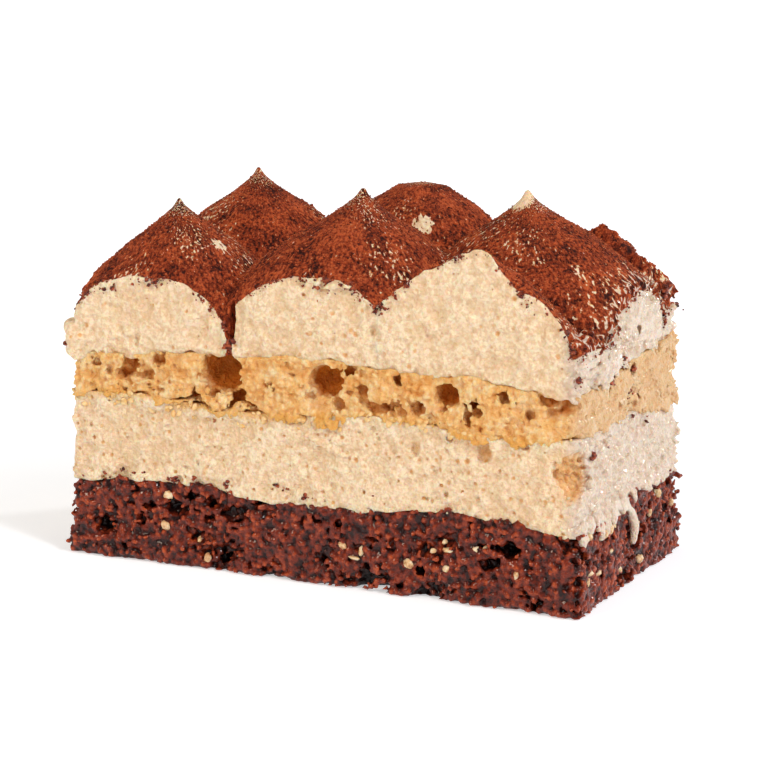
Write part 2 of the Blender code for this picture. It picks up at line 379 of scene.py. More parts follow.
class Finish:
    """A procedural material: nodes are made by one method, and colours mixed by another."""

    def __init__(self, name, roughness, scatter=0.0, gloss=0.5, sheen=0.0):
        self.material = bpy.data.materials.new(name)
        self.material.use_nodes = True
        self.tree = self.material.node_tree
        self.shader = self.tree.nodes["Principled BSDF"]
        self.shader.inputs["Roughness"].default_value = roughness
        self.shader.inputs["Specular IOR Level"].default_value = gloss
        self.shader.inputs["Subsurface Weight"].default_value = scatter
        self.shader.inputs["Subsurface Radius"].default_value = (1.0, 0.45, 0.18)
        self.shader.inputs["Subsurface Scale"].default_value = 0.0015
        self.shader.inputs["Coat Weight"].default_value = sheen
        self.shader.inputs["Coat Roughness"].default_value = 0.1
        self.place = self.node("ShaderNodeTexCoord", output="Object")

    def node(self, kind, settings=None, inputs=None, output=0):
        made = self.tree.nodes.new(kind)
        for key, value in (settings or {}).items():
            if key == "stops":
                ramp = made.color_ramp
                while len(ramp.elements) < len(value):
                    ramp.elements.new(0.5)
                for element, (position, colour) in zip(ramp.elements, value):
                    element.position = position
                    element.color = (*colour, 1.0)
            else:
                setattr(made, key, value)
        for key, value in (inputs or {}).items():
            if isinstance(value, Value):
                self.tree.links.new(value.socket, made.inputs[key])
            else:
                made.inputs[key].default_value = value
        return Value(self, made.outputs[output])

    def mark(self, name, output="Fac"):
        return self.node("ShaderNodeAttribute", dict(attribute_name=name), output=output)

    def grain(self, size, detail=2.0, stretch=None, place=None):
        """Noise with features of about this size in millimetres."""
        place = place or self.place
        if stretch:
            place = self.node("ShaderNodeMapping", inputs={"Vector": place, "Scale": stretch})
        return self.node(
            "ShaderNodeTexNoise",
            inputs={"Vector": place, "Scale": 1.0 / (size * MM), "Detail": detail},
        )

    def steps(self, value, low, high):
        """0 below low, 1 above high."""
        return self.node(
            "ShaderNodeMapRange",
            dict(interpolation_type="SMOOTHSTEP"),
            {"Value": value, "From Min": low, "From Max": high},
        )

    def mix(self, factor, first, second):
        inputs = {0: factor}
        for socket, colour in ((6, first), (7, second)):
            inputs[socket] = colour if isinstance(colour, Value) else (*colour, 1.0)
        return self.node("ShaderNodeMix", dict(data_type="RGBA"), inputs, output=2)

    def ramp(self, value, stops):
        return self.node("ShaderNodeValToRGB", dict(stops=stops), {0: value})

    def dents(self, height, distance):
        """Fine relief, distance millimetres deep."""
        inputs = {"Height": height, "Distance": distance * MM, "Strength": 1.0}
        return self.node("ShaderNodeBump", inputs=inputs)

    def finish(self, colour, roughness=None, normal=None, sheen=None):
        values = {"Base Color": colour, "Roughness": roughness, "Normal": normal, "Coat Weight": sheen}
        for key, value in values.items():
            if value:
                self.tree.links.new(value.socket, self.shader.inputs[key])
        return self.material


def higher(first, second, blend=0.0):
    """The larger of two fields, blended over a distance: the part that two solids share."""
    if not blend:
        return np.maximum(first, second)
    overlap = np.maximum(blend - np.abs(first - second), 0.0) / blend
    return np.maximum(first, second) + overlap * overlap * (0.25 * blend)


def lower(first, second, blend=0.0):
    return -higher(-first, -second, blend)


def front_y(z):
    """Where the front cut stands at a height."""
    return -(HALF_DEPTH + SLOPE_DEPTH * z)


def right_x(z):
    return MIDDLE_X + HALF_LENGTH + SLOPE_LENGTH * z


def sides(samples, rounding=0.8):
    """Distance outside the four knife cuts of the slab."""
    x = np.abs(samples.x - MIDDLE_X) - (HALF_LENGTH + SLOPE_LENGTH * samples.z)
    y = np.abs(samples.y) - (HALF_DEPTH + SLOPE_DEPTH * samples.z)
    return higher(x, y, rounding)


def rolling(x, y, seed, length, height):
    """Gentle unevenness of a spread or baked surface, the same for the layers above and below it."""
    a = np.sin(x / length + seed) * np.cos(y / length * 0.8 + 1.7 * seed)
    b = np.sin(x / length * 2.3 + 2.9 * seed + y / length * 1.3)
    c = np.sin(x / length * 4.1 - y / length * 3.7 + 0.6 * seed)
    return height * (0.55 * a + 0.3 * b + 0.2 * c)


CHOCOLATE_HEIGHT = 15.0
FRONT = -26.0  # about where the front cut stands
FRONT_BAND = 12.0  # a layer's front edge eases into its height further in over this depth


def edge_wave(x, length, peak, height):
    """Slow wave of a layer's front edge, with a crest at the place called peak."""
    return height * np.cos(2 * np.pi * (x - MIDDLE_X - peak) / length)


def from_front(y):
    """0 at the front cut, 1 past the front band."""
    return np.clip((y - FRONT) / FRONT_BAND, 0.0, 1.0)


def chocolate_top(x, y):
    further = from_front(y)
    front = CHOCOLATE_HEIGHT + edge_wave(x, 56.0, -30.0, 0.9)
    further_in = CHOCOLATE_HEIGHT + 0.3 + rolling(x, y, 1.0, 5.0, 1.1)
    return front * (1.0 - further) + further_in * further


def crumb_bubbles(samples, field, draw, count, heights, radii, ragged, reach=3.5, flat=0.85):
    """Bubbles near the four cuts, most of them small."""
    long_side = 2 * HALF_LENGTH
    round_trip = 2 * (long_side + 2 * HALF_DEPTH)
    for _ in range(count):
        way = draw.uniform(0, round_trip)
        inward = draw.uniform(-0.3, reach) * draw.uniform(0.2, 1.0)
        z = draw.uniform(*heights)
        size = radii[0] + (radii[1] - radii[0]) * draw.uniform() ** 3
        side = way % (0.5 * round_trip)
        turn = 1 if way < 0.5 * round_trip else -1
        if side < long_side:
            x = side - HALF_LENGTH
            y = -turn * (HALF_DEPTH - inward)
        else:
            x = turn * (HALF_LENGTH - inward)
            y = side - long_side - HALF_DEPTH
        form = (size * draw.uniform(0.8, 1.3), size * draw.uniform(0.8, 1.2), size * flat)
        samples.carve(field, (x + MIDDLE_X, y, z), form, ragged)


chocolate_points = Samples((-53.0, -29.5, -1.0), (55.0, 29.5, 19.5), 0.32)
cut = sides(chocolate_points)
knobs = 1.10 * chocolate_points.knobs(1.3, 11) + 0.90 * chocolate_points.knobs(0.78, 12)
crumb = knobs + 0.55 * chocolate_points.lumps(3.0, 13) - 1.08
top = chocolate_points.z - chocolate_top(chocolate_points.x, chocolate_points.y)
near_cut = np.clip(1.0 + cut / 3.0, 0.0, 1.0)
foot = 0.1 + 0.35 * np.clip(crumb + 0.3, 0.0, 2.0) * near_cut - chocolate_points.z
block = higher(higher(cut + crumb, top + 1.1 * crumb * near_cut, 0.3), foot, 0.3)
draw = np.random.default_rng(5)
crumb_bubbles(chocolate_points, block, draw, 420, (0.5, 15.5), (0.5, 2.0), -crumb)
crumb_bubbles(chocolate_points, block, draw, 66, (2.0, 13.5), (1.0, 2.8), -crumb, reach=1.0)
chocolate_sponge = chocolate_points.halves(
    "chocolate_crumb",
    block,
    # depth and gap steer painted shade in the finish below: the pores and the gaps between knobs are painted
    # dark
    {"depth": np.clip(-cut, 0.0, 6.0), "gap": np.clip(knobs / 1.65, 0.0, 1.0)},
    flatness=0.01,
    border=MIDDLE_X + 1.0,
)

chocolate = Finish("moist_chocolate_crumb", 0.45, gloss=0.1, sheen=0.5)
patches = chocolate.grain(3.0, 3.0)
speck = chocolate.grain(0.5, 2.0)
# Painted shade: in the pores, in from the cut, and in the gaps between knobs, the crumb is mixed towards near
# black
hollow_shade = chocolate.steps(chocolate.mark("depth") + 0.6 * chocolate.mark("gap"), 0.9, 3.0)
# Painted shade as well: this ramp makes the knob tops lighter and the gaps between them darker
brown = chocolate.ramp(
    0.25 * patches + 0.25 * speck + 0.50 * (1.0 - chocolate.mark("gap")),
    [(0.34, (0.022, 0.002, 0.001)), (0.47, (0.21, 0.022, 0.006)), (0.60, (0.54, 0.088, 0.021))],
)
set_in_place(
    chocolate_sponge,
    chocolate.finish(
        chocolate.mix(hollow_shade, brown, (0.010, 0.002, 0.0015)),
        roughness=0.35 + 0.3 * speck,
        normal=chocolate.dents(chocolate.grain(0.35, 3.0), 0.6),
    ),
    "chocolate_sponge",
    "chocolate_sponge",
)


def round_shapes(seed, subdivisions, roughness, count=4):
    """Corners and faces of small roundish shapes, of half size 1."""
    shapes = []
    for number in range(count):
        bpy.ops.object.select_all(action="DESELECT")
        bpy.ops.mesh.primitive_ico_sphere_add(subdivisions=subdivisions, radius=1.0)
        stone = bpy.context.object
        bpy.ops.object.mode_set(mode="EDIT")
        bpy.ops.mesh.select_all(action="SELECT")
        bpy.ops.transform.vertex_random(offset=roughness, uniform=0.3, normal=0.7, seed=seed + number)
        bpy.ops.object.mode_set(mode="OBJECT")
        corners = point_vectors(stone.data, "co")
        faces = np.empty(3 * len(stone.data.polygons), int)
        stone.data.polygons.foreach_get("vertices", faces)
        shapes.append((corners, faces.reshape(-1, 3)))
        bpy.data.meshes.remove(stone.data)
    return shapes


def ragged_shapes(seed, step, raggedness=0.9, count=4):
    """Corners and faces of ragged crumbs, of half size 1."""
    shapes = []
    for number in range(count):
        points = Samples((-1.9,) * 3, (1.9,) * 3, step)
        body = points.ball((slice(None),) * 3, (0.0, 0.0, 0.0), (0.95, 0.95, 0.95))
        body = body + raggedness * (points.knobs(0.75, seed + number) - 0.38)
        body = body + 0.4 * raggedness * points.lumps(0.9, seed + number)
        corners, triangles, quads = points.surface(body, 0.02)
        faces = np.concatenate([triangles, quads[:, [0, 1, 2]], quads[:, [0, 2, 3]]])
        shapes.append((corners * step + points.low, faces))
    return shapes


class Stones:
    """Small loose pieces of a few shapes, strewn over the portion and joined into one mesh."""

    def __init__(self, seed, shapes):
        self.draw = np.random.default_rng(seed)
        self.shapes = shapes
        self.places = []
        self.faces = []
        self.count = 0

    def lay(self, place, radii, turned=True):
        """Lays one stone, of half sizes radii along x, y and z, turned at random unless it isn't."""
        corners, faces = self.shapes[self.draw.integers(len(self.shapes))]
        spin, _ = np.linalg.qr(self.draw.normal(size=(3, 3)))
        spin *= np.sign(np.linalg.det(spin))
        shape = (corners @ spin.T) * np.array(radii)
        if turned:
            turn, _ = np.linalg.qr(self.draw.normal(size=(3, 3)))
            shape = shape @ (turn * np.sign(np.linalg.det(turn))).T
        self.places.append(shape + np.array(place))
        self.faces.append(faces + self.count)
        self.count += len(corners)

    def joined(self, name):
        empty = np.zeros((0, 4), int)
        return mesh_piece(name, np.concatenate(self.places), np.concatenate(self.faces), empty)


# --- Nut pieces ------------------------------------------------------------------------------------
# Small pale pieces of chopped nut and coconut baked into the chocolate sponge, and cut or bared on
# its faces.


def on_cut(side, way, height):
    """Point on one of the four cuts, way being -1 to 1 along it, and the axis that the cut follows."""
    if side in ("front", "back"):
        y = front_y(height) if side == "front" else -front_y(height)
        return np.array((0.94 * HALF_LENGTH * way + MIDDLE_X, y, height)), 0
    x = right_x(height) if side == "right" else 2 * MIDDLE_X - right_x(height)
    return np.array((x, 0.9 * HALF_DEPTH * way, height)), 1


nuts = Stones(21, ragged_shapes(61, 0.4, 0.8))
for side, count in (("front", 15), ("right", 14), ("back", 14), ("left", 8)):
    for _ in range(count):
        place, along = on_cut(side, nuts.draw.uniform(-1.0, 1.0), nuts.draw.uniform(2.0, 14.0))
        wide, tall = nuts.draw.uniform(0.4, 1.2, 2)
        nuts.lay(place, (wide, 0.7, tall) if along == 0 else (0.8, wide, tall), turned=False)
nut = Finish("chopped_nut", 0.4, scatter=0.2, gloss=0.5)
cloud = nut.grain(0.9, 3.0)
set_in_place(
    [nuts.joined("nut_pieces")],
    nut.finish(
        nut.ramp(cloud, [(0.30, (0.42, 0.17, 0.07)), (0.48, (0.72, 0.45, 0.22)), (0.65, (0.85, 0.68, 0.45))]),
        normal=nut.dents(cloud, 0.3),
    ),
    "chocolate_sponge",
)

# --- Lower cream -----------------------------------------------------------------------------------
# A thick layer of set mascarpone cream, spread on the chocolate sponge and cut with the slab: faintly
# dimpled, with pin bubbles, whipped looking on the right cut, where some of it has been dragged down.

CREAM_HEIGHT = 30.3
CREAM_DROP = 1.9  # the cream is lower in the back right corner
SPONGE_RISE = 4.0  # and the light sponge higher


def to_corner(x, y, amount):
    """Grows from nothing over most of the block to amount in its back right corner."""
    return amount * np.clip((x + 10.0) / 60.0, 0.0, 1.0) * np.clip((y + 12.0) / 38.0, 0.0, 1.0)


def cream_top(x, y):
    further = from_front(y)
    further_in = 30.4 - to_corner(x, y, CREAM_DROP) + rolling(x, y, 2.3, 6.0, 0.9)
    front = CREAM_HEIGHT + edge_wave(x, 50.0, 12.0, 0.8)
    return front * (1.0 - further) + further_in * further


def front_holes(samples, field, holes, depth, ragged):
    """Bubbles that the front cut opened: x, height, half width, half height."""
    for x, z, half_width, half_height in holes:
        form = (half_width, depth * half_width, half_height)
        samples.carve(field, (x + MIDDLE_X, front_y(z) + 0.3, z), form, ragged)


# The two largest bubbles lie right of the middle
CREAM_BUBBLES = ((20.0, 26.5, 1.1, 1.5), (33.0, 27.0, 1.5, 1.8))

cream_points = Samples((-53.0, -29.5, 5.5), (55.0, 29.5, 33.5), 0.33)
x, z = cream_points.x - MIDDLE_X, cream_points.z
cut = sides(cream_points, 1.2)
wide = cream_points.lumps(5.0, 21)
mottle = cream_points.lumps(1.5, 22)
pins = cream_points.lumps(0.8, 23)
streaks = cream_points.slanted(cream_points.lumps(1.7, 24, stretch=(1.0, 1.0, 2.6)), 0.45)
whipped = cream_points.knobs(1.15, 25, stretch=(1.0, 0.9, 1.5))
pitted = cream_points.knobs(1.6, 26, stretch=(1.0, 1.0, 1.15)) + 0.13 * pins + 0.10 * mottle
right_side = np.clip((x - 47.0) / 2.2, 0.0, 1.0)
left_part = np.clip((6.0 - x) / 16.0, 0.0, 1.0)
near_cut = np.clip(1.0 + cut / 2.5, 0.0, 1.0)
crest = cream_top(cream_points.x, cream_points.y)
near_top = np.clip((z - crest + 3.6) / 3.0, 0.0, 1.0) * (0.35 + 0.65 * left_part)
pits = np.clip(2.0 * (0.50 - pitted), 0.0, 0.8) * (1.0 - 0.7 * right_side)
relief = (
    0.20 * wide
    + (0.10 + 0.24 * left_part) * streaks
    + (0.20 + 0.14 * left_part + 0.25 * near_top) * mottle
    + (0.34 + 0.10 * near_top) * pins
    + right_side * (1.25 * (whipped - 0.55) + 0.10 * mottle)
) * near_cut
shape = cut + relief + pits * near_cut
shape = higher(shape, z - crest - 0.2 - 0.2 * mottle * near_cut, 0.4)
under = chocolate_top(cream_points.x, cream_points.y) - 0.5 + 0.3 * mottle * near_cut - z
shape = higher(shape, under, 0.4)
draw = np.random.default_rng(6)
crumb_bubbles(cream_points, shape, draw, 260, (15.0, 30.0), (0.35, 0.75), 0.10 * pins, reach=0.8)
front_holes(cream_points, shape, CREAM_BUBBLES, 0.9, 0.12 * pins)
for _ in range(17):
    size = draw.uniform(0.4, 0.65)
    spot = (draw.uniform(-42.0, 42.0), draw.uniform(17.0, 29.0), size, size)
    front_holes(cream_points, shape, (spot,), 0.9, 0.12 * pins)
# A curl of cream lifted by the knife in front
for way in np.linspace(0.0, 1.0, 7):
    height = 27.0 - 3.0 * way
    radius = 0.5 + 0.4 * np.sin(np.pi * way)
    place = (7.0 * way - 0.5 + MIDDLE_X, front_y(height) + 0.1, height)
    cream_points.add(shape, place, (1.1 * radius, 1.0, 1.1 * radius), 0.1 * pins, 0.3)
# One long string of cream hangs over the chocolate sponge on the right and curls back at its end
for way in np.linspace(0.0, 1.0, 24):
    height = 16.0 - 9.0 * way ** 1.6
    radius = (0.8 - 0.4 * way) * draw.uniform(0.7, 1.25)
    place = (right_x(height) + 0.05, 10.5 * np.sin(0.62 * np.pi * way) - 9.0, height)
    cream_points.add(shape, place, (0.45, radius, 1.1 * radius), 0.3 * mottle, 0.6)
# Shorter drips beside it, the longer ones towards the front corner
for _ in range(15):
    across = draw.uniform(-25.0, 23.0)
    start = float(chocolate_top(MIDDLE_X + HALF_LENGTH, across)) + 0.4
    length = draw.uniform(0.3, 2.6) * (1.0 - across / 40.0)
    wide = draw.uniform(0.5, 1.5)
    for way in np.linspace(0.0, 1.0, 4):
        height = start - length * way
        radius = wide * (1.0 - 0.4 * way)
        place = (right_x(height) - 0.1, across + 0.6 * way, height)
        cream_points.add(shape, place, (0.8, radius, radius), 0.4 * (whipped - 0.5), 0.5)
# The corner has crumbled away below the light sponge
corner = 1.3 * (0.55 - cream_points.knobs(1.3, 27)) + 0.5 * mottle
cream_points.carve(shape, (MIDDLE_X + 51.0, -27.2, 24.2), (5.8, 7.8, 4.9), corner)
lower_cream = cream_points.solid(
    "mascarpone_layer",
    shape,
    {
        # depth, relief and pits also steer painted shade in the cream's finish: orange in bubbles, pits and
        # the low parts of the relief
        "depth": np.clip(-cut, 0.0, 4.0),
        "relief": relief,
        "pits": pits,
        "soak": np.clip(1.0 + (z - crest + 0.6 * mottle) / 2.6, 0.0, 1.0) * (0.4 + 0.6 * left_part),
        # This mark covers the right cut, where the cream is dragged; its colour there is partly painted light
        "fresh": right_side * np.ones_like(cut),
    },
    flatness=0.01,
)


def cream_finish(name, scatter=0.5):
    """Pale mascarpone cream, soft; painted shade makes it golden orange in its pits, bubbles and relief
    hollows; the fresh right cut is wetter, and its greyer tone there is partly painted light.
    """
    cream = Finish(name, 0.5, scatter=scatter, gloss=0.25)
    clouds = cream.grain(4.0, 3.0)
    ripple = cream.grain(0.8, 3.0)
    fresh = cream.mark("fresh")
    # Painted shade: the low parts of the relief are mixed towards orange
    low = cream.steps(cream.mark("relief") + 0.5 * ripple, 0.10, 0.55)
    # Painted shade and glow: inside bubbles, in from the cut, the cream is mixed towards orange
    hollow_shade = cream.steps(cream.mark("depth"), 0.45, 1.8)
    pale = cream.mix(clouds, (0.92, 0.73, 0.51), (0.95, 0.78, 0.56))
    pale = cream.mix(low * 0.4, pale, (0.76, 0.48, 0.24))
    # Painted shade: small orange spots stand for the shade in dimples that the mesh does not have
    dimple_shade = cream.steps(cream.grain(0.65, 1.5), 0.42, 0.60)
    pale = cream.mix(dimple_shade * 0.5, pale, (0.72, 0.45, 0.23))
    soaked = cream.steps(cream.mark("soak") + 0.5 * (ripple - 0.5), 0.45, 1.0) * 0.75
    pale = cream.mix(soaked, pale, (0.84, 0.46, 0.15))
    # Partly painted light: on the right cut the cream turns greyer and less yellow; it is dragged fresh cream
    # there, and the tone also stands for the cool light on that side
    pale = cream.mix(fresh * 0.85, pale, (0.70, 0.56, 0.44))
    golden = cream.mix(hollow_shade * 0.8, pale, (0.80, 0.42, 0.14))
    # Painted shade: the pits are mixed towards deep orange
    holes = cream.steps(cream.mark("pits") + 0.3 * (ripple - 0.5), 0.08, 0.50) * 0.8
    colour = cream.mix(holes * (1.0 - 0.5 * fresh), golden, (0.76, 0.36, 0.09))
    return cream, colour, ripple


cream, colour, ripple = cream_finish("mascarpone_cream")
set_in_place(
    [lower_cream],
    cream.finish(colour, normal=cream.dents(ripple, 1.0), sheen=0.15 + 0.85 * cream.mark("fresh")),
    "mascarpone_cream",
    "lower_cream",
)

# --- Light sponge ----------------------------------------------------------------------------------
# A thin sheet of light sponge, laid on the cream and soaked, so that its lower side is orange and
# wet.  Its crumb is finer than the chocolate one, with a few big bubbles opened by the long cut.

SPONGE_HEIGHT = 37.2  # at the ends
SPONGE_CROWN = 3.0
# The four big bubbles on the front cut: x, height, half width, half height
SPONGE_HOLES = (
    (-18.0, 37.0, 4.3, 4.3),
    (2.5, 36.5, 3.2, 3.2),
    (-37.0, 37.0, 2.1, 2.1),
    (26.0, 36.0, 2.4, 2.1),
)


def sponge_top(x, y):
    crown = SPONGE_CROWN * np.cos(np.pi * (x - MIDDLE_X) / (2.2 * HALF_LENGTH))
    return SPONGE_HEIGHT + crown + to_corner(x, y, SPONGE_RISE) + rolling(x, y, 4.1, 4.5, 0.7)


sponge_points = Samples((-53.0, -29.5, 26.5), (55.0, 29.5, 46.5), 0.28)
cut = sides(sponge_points)
knobs = 0.85 * sponge_points.knobs(1.2, 31) + 0.75 * sponge_points.knobs(0.72, 32)
tears = sponge_points.lumps(2.2, 33)
long_waves = sponge_points.lumps(6.0, 34)
crumb = knobs + 0.50 * tears - 0.88
near_cut = np.clip(1.0 + cut / 3.0, 0.0, 1.0)
underside = cream_top(sponge_points.x, sponge_points.y) - sponge_points.z
over = sponge_points.z - sponge_top(sponge_points.x, sponge_points.y)
hanging = underside + (1.3 * crumb + 0.7 * tears + 0.5 * long_waves) * near_cut
block = higher(cut + crumb, higher(over + 0.3 * crumb * near_cut, hanging, 0.3), 0.3)
left_part = np.clip((12.0 - sponge_points.x) / 20.0, 0.35, 1.0)
seam = np.abs(underside + 0.9 + 0.9 * tears + 0.5 * long_waves + 0.5 * crumb)
seam = seam - 0.65 * np.clip(0.8 * long_waves + 0.5 * tears, -0.2, 0.6) * left_part
block = np.maximum(block, -np.maximum(seam, -cut - 2.4))
draw = np.random.default_rng(7)
crumb_bubbles(sponge_points, block, draw, 420, (29.5, 42.0), (0.45, 1.5), -crumb, reach=3.0)
front_holes(sponge_points, block, SPONGE_HOLES, 1.2, -0.8 * crumb)
# Smaller ones, crowding towards the right
for _ in range(24):
    size = draw.uniform(0.8, 1.9)
    across = 49.0 - 94.0 * draw.uniform() ** 1.4
    height = draw.uniform(31.5, 37.0)
    spot = (across, height, size, size * draw.uniform(0.6, 1.0))
    front_holes(sponge_points, block, (spot,), 1.2, -0.8 * crumb)
light_sponge = sponge_points.halves(
    "light_crumb",
    block,
    {
        # depth and gap steer painted shade in the finish below: dark amber in bubbles and orange brown
        # between the knobs
        "depth": np.clip(-cut, 0.0, 6.0),
        "gap": np.clip(knobs / 1.4, 0.0, 1.0),
        "rise": np.clip(-underside, -2.0, 14.0),
        # This mark covers the right cut, smeared with cream; its colour there is partly painted light
        "fresh": np.clip((sponge_points.x - MIDDLE_X - 47.5) / 2.0, 0.0, 1.0) * np.ones_like(cut),
    },
    flatness=0.01,
    border=MIDDLE_X + 8.0,
)

golden = Finish("soaked_light_crumb", 0.5, scatter=0.3, gloss=0.15)
patches = golden.grain(3.0, 3.0)
speck = golden.grain(0.6, 2.0)
# Painted shade: inside bubbles, in from the cut, the crumb is mixed towards dark amber
hollow_shade = golden.steps(golden.mark("depth"), 0.5, 2.6)
# Painted shade: the gaps between knobs of crumb are mixed towards orange brown
gap = golden.steps(golden.mark("gap") + 0.25 * speck, 0.55, 1.1)
soak = 1.0 - golden.steps(golden.mark("rise") + 1.6 * patches, 0.3, 1.9)
crumb_colour = golden.ramp(
    0.55 * patches + 0.45 * speck,
    [(0.34, (0.80, 0.36, 0.09)), (0.50, (0.93, 0.56, 0.22)), (0.66, (0.97, 0.76, 0.45))],
)
crumb_colour = golden.mix(gap * 0.8, crumb_colour, (0.70, 0.25, 0.04))
crumb_colour = golden.mix(soak * 0.7, crumb_colour, (0.84, 0.40, 0.08))
# Partly painted light: on the right cut the crumb turns paler and greyer; cream is smeared over it, and the
# tone also stands for the cool light on that side
crumb_colour = golden.mix(golden.mark("fresh") * 0.6, crumb_colour, (0.66, 0.45, 0.27))
crumb_colour = golden.mix(hollow_shade * 0.97, crumb_colour, (0.50, 0.125, 0.006))
set_in_place(
    light_sponge,
    golden.finish(
        crumb_colour,
        roughness=0.4 + 0.3 * speck,
        normal=golden.dents(golden.grain(0.45, 3.0), 0.7),
        sheen=0.05 + 0.5 * golden.mark("fresh"),
    ),
    "light_sponge",
    "light_sponge",
)

# --- Piped cream kisses ----------------------------------------------------------------------------
# The same cream, piped through a plain round nozzle in rows that just touch, then dusted with cocoa.
# The knife has cut through those on the edges; there the cream is bare, and dragged on the right.

# Upright section of a kiss: depth below the tip, and radius
SECTION_DEPTH = (0.0, 0.5, 1.1, 1.9, 2.9, 3.9, 4.9, 6.3, 8.0, 12.0, 16.0, 20.0, 23.0, 27.0, 33.0)
SECTION_RADIUS = (0.35, 0.6, 0.9, 1.6, 2.7, 4.0, 5.3, 7.4, 10.2, 15.0, 19.2, 22.0, 22.6, 22.1, 21.2)
KISSES = {
    "kiss_front_left": dict(at=(-34.2, -12.0), tip=65.6, width=0.99, lean=-0.3),
    "kiss_front_middle": dict(at=(-0.3, -7.8), tip=68.6, width=1.08, lean=1.6),
    "kiss_front_right": dict(at=(29.5, -28.5), tip=64.8, width=0.97, lean=2.5, skirt=(30.0, 44.0)),
    "kiss_middle_right": dict(at=(28.5, 6.0), tip=68.0, width=1.11, lean=-1.2, skirt=(31.0, 45.0)),
    "kiss_back_left": dict(at=(-35.4, 20.5), tip=68.6, width=1.02, lean=-0.5),
    "kiss_back_middle": dict(at=(-1.9, 24.0), tip=70.8, width=1.04, blunt=4.0),
    "kiss_back_right": dict(at=(34.5, 34.0), tip=66.2, width=0.86, skirt=(24.0, 46.5)),
}
JOINT_HEIGHT = 50.0
LEAN_DEPTH = 14.0

# Where the domes were pressed in a little: x, y, reach, depth
DENTS = (
    (-34.5, -28.0, 8.5, 1.1), (-41.0, -20.0, 9.0, 0.8), (-47.8, -24.5, 3.6, 1.0), (37.8, -27.0, 4.2, 2.5),
    (25.5, -27.0, 5.0, 0.6), (32.0, -6.0, 10.0, 0.4),
)
# Lumps of cream joined to the kisses: x, y, height, half sizes, raggedness
EXTRA_CREAM = (
    (-48.6, -23.2, 40.2, (3.6, 3.9, 3.1), 0.9),  # lip on the front left corner
    (-49.3, -24.6, 42.0, (2.0, 2.0, 1.9), 0.9),
    (-47.4, -23.0, 45.4, (2.4, 3.4, 2.8), 0.4),
    (49.0, -20.8, 44.6, (1.9, 5.0, 3.6), 0.4),  # cream dragged over the front right corner
    (49.6, -13.4, 40.8, (1.3, 4.4, 3.6), 0.4),
    (49.2, -8.5, 41.2, (1.3, 3.0, 2.2), 0.4),
    (48.3, 4.0, 47.5, (1.6, 6.0, 5.0), 0.4),
    (48.9, 11.0, 45.2, (1.5, 6.5, 4.5), 0.4),
)
GAP_BETWEEN_FRONT_KISSES = (-16.0, -27.0, 46.5)


def section_radius(kiss, z):
    """Radius of a kiss at heights z, softened so that the section has no corners."""
    table_z = np.arange(25.0, 76.0, 0.1)
    depth = kiss["tip"] - table_z
    radius = kiss["width"] * np.interp(depth, SECTION_DEPTH, SECTION_RADIUS)
    radius = np.where(depth < 0.0, 0.35 + 1.6 * depth, radius)
    if "blunt" in kiss:
        below = kiss["tip"] - kiss["blunt"] - table_z
        radius = np.minimum(radius, 7.0 * np.sqrt(np.maximum(below, 0.0)) + np.minimum(4.0 * below, 0.0))
    if "skirt" in kiss:
        skirt_radius, skirt_height = kiss["skirt"]
        spread = np.clip((skirt_height + 1.0 - table_z) / 2.5, 0.0, 1.0)
        radius = np.maximum(radius, radius + (skirt_radius - radius) * spread)
    window = np.ones(7) / 7
    soft = np.convolve(np.pad(radius, 3, mode="edge"), window, mode="valid")
    return np.interp(z, table_z, soft)


kiss_points = Samples((-55.5, -29.5, 34.0), (55.0, 29.5, 70.5), 0.28)
x, y, z = kiss_points.x - MIDDLE_X, kiss_points.y, kiss_points.z
cut = sides(kiss_points, 0.7)
swell = kiss_points.lumps(9.0, 41)
wobble = kiss_points.lumps(3.0, 42)
mottle = kiss_points.lumps(1.4, 43)
pins = kiss_points.lumps(0.75, 44)
streaks = kiss_points.slanted(kiss_points.lumps(1.5, 45, stretch=(1.0, 1.0, 2.4)), 0.5)
whipped = kiss_points.knobs(1.1, 46, stretch=(1.0, 0.9, 1.7))
dust = kiss_points.knobs(0.62, 47)
pitted = kiss_points.knobs(2.0, 48) + 0.15 * pins + 0.12 * mottle
heights = kiss_points.z.ravel()
skin = np.full(kiss_points.shape, FAR, np.float32)
for kiss in KISSES.values():
    radius = section_radius(kiss, heights)
    steep = 1.0 / np.sqrt(1.0 + np.gradient(radius, kiss_points.step) ** 2)
    rise = np.maximum(heights - (kiss["tip"] - LEAN_DEPTH), 0.0) / LEAN_DEPTH
    centre_x = kiss["at"][0] + kiss.get("lean", 0.0) * rise
    away = np.sqrt((x - centre_x[None, None, :]) ** 2 + (y - kiss["at"][1]) ** 2)
    dome = ((away - radius[None, None, :]) * steep[None, None, :]).astype(np.float32)
    skin = lower(skin, dome, 0.4)
for across, deep_in, reach, depth in DENTS:
    skin += depth * np.exp(-((x - across) ** 2 + (y - deep_in) ** 2) / (0.6 * reach * reach))
ripe = np.clip((66.0 - z) / 6.0, 0.25, 1.0)  # the tips are smoother than the domes
skin += ripe * (0.32 * swell + 0.10 * wobble)
dust_relief = (0.26 * (dust / 0.31 - 1.0) + 0.05 * mottle) * ripe
right_side = np.clip((x - 46.3) / 2.2, 0.0, 1.0) * np.clip((59.0 + 2.0 * wobble - z) / 3.0, 0.0, 1.0)
left_part = np.clip((10.0 - x) / 20.0, 0.3, 1.0)
pits = np.clip(1.8 * (0.52 - pitted), 0.0, 0.7) * (1.0 - 0.7 * right_side)
knife_relief = (
    (0.10 + 0.20 * left_part) * streaks
    + (0.20 + 0.14 * left_part) * mottle
    + 0.34 * pins
    + 0.18 * wobble
    + right_side * 1.25 * (whipped - 0.5)
)
seat = sponge_top(kiss_points.x, kiss_points.y) - 0.3 - 0.7 * mottle - 0.4 * pins - 0.4 * wobble - z
body = higher(skin + dust_relief * (1.0 - right_side), cut + knife_relief + pits, 0.3)
